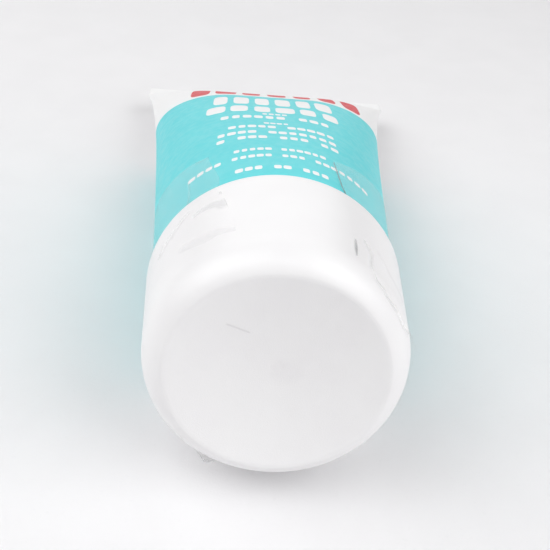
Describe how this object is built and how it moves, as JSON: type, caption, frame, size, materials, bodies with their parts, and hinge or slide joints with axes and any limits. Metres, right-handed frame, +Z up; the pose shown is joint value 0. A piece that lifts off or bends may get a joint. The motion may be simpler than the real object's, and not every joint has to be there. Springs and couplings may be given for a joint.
{
  "type": "shaving cream tube",
  "caption": "Soft squeeze tube of shaving cream lying on its back, teal with a white tail pressed flat and sealed, closed by a full-width white screw cap with clear tape round the joint.",
  "frame": {"origin": "centre of the footprint, on the ground that the tube lies on", "axes": "+Z up out of the label side, +Y along the tube from the cap to the sealed tail, +X across the tube"},
  "size_m": [0.0704, 0.1526, 0.0473],
  "materials": {
    "sleeve_film": "soft satin polyethylene, printed teal with an unprinted white tail",
    "head_plastic": "moulded white polyethylene",
    "foil": "bright foil laminate",
    "cream": "thick white cream",
    "cap_plastic": "moulded white polypropylene, satin side and rim, finely matt dish",
    "liner_foam": "fine white foam",
    "tape_film": "clear glossy packing tape, wrinkled"
  },
  "bodies": {
    "tube": {"tube_sleeve": "sleeve_film", "tube_shoulder": "head_plastic", "foil_seal": "foil", "cream": "cream", "tape_on_tube": "tape_film"},
    "liner": {"cap_liner": "liner_foam"},
    "cap": {"cap": "cap_plastic", "tape_on_cap": "tape_film"}
  },
  "joints": [
    {"name": "cap_lift", "type": "slide", "parent": "tube", "child": "liner", "axis": [0, -0.9914, 0.1305], "range_m": [0, 0.008]},
    {"name": "cap_turn", "type": "hinge", "parent": "liner", "child": "cap", "pos_m": [0, -0.07391, 0.02658], "axis": [0, -0.9914, 0.1305], "range_deg": [0, 722]}
  ],
  "couplings": [
    {"joint": "cap_turn", "follows": "cap_lift", "rad_per_m": 1570.8}
  ]
}
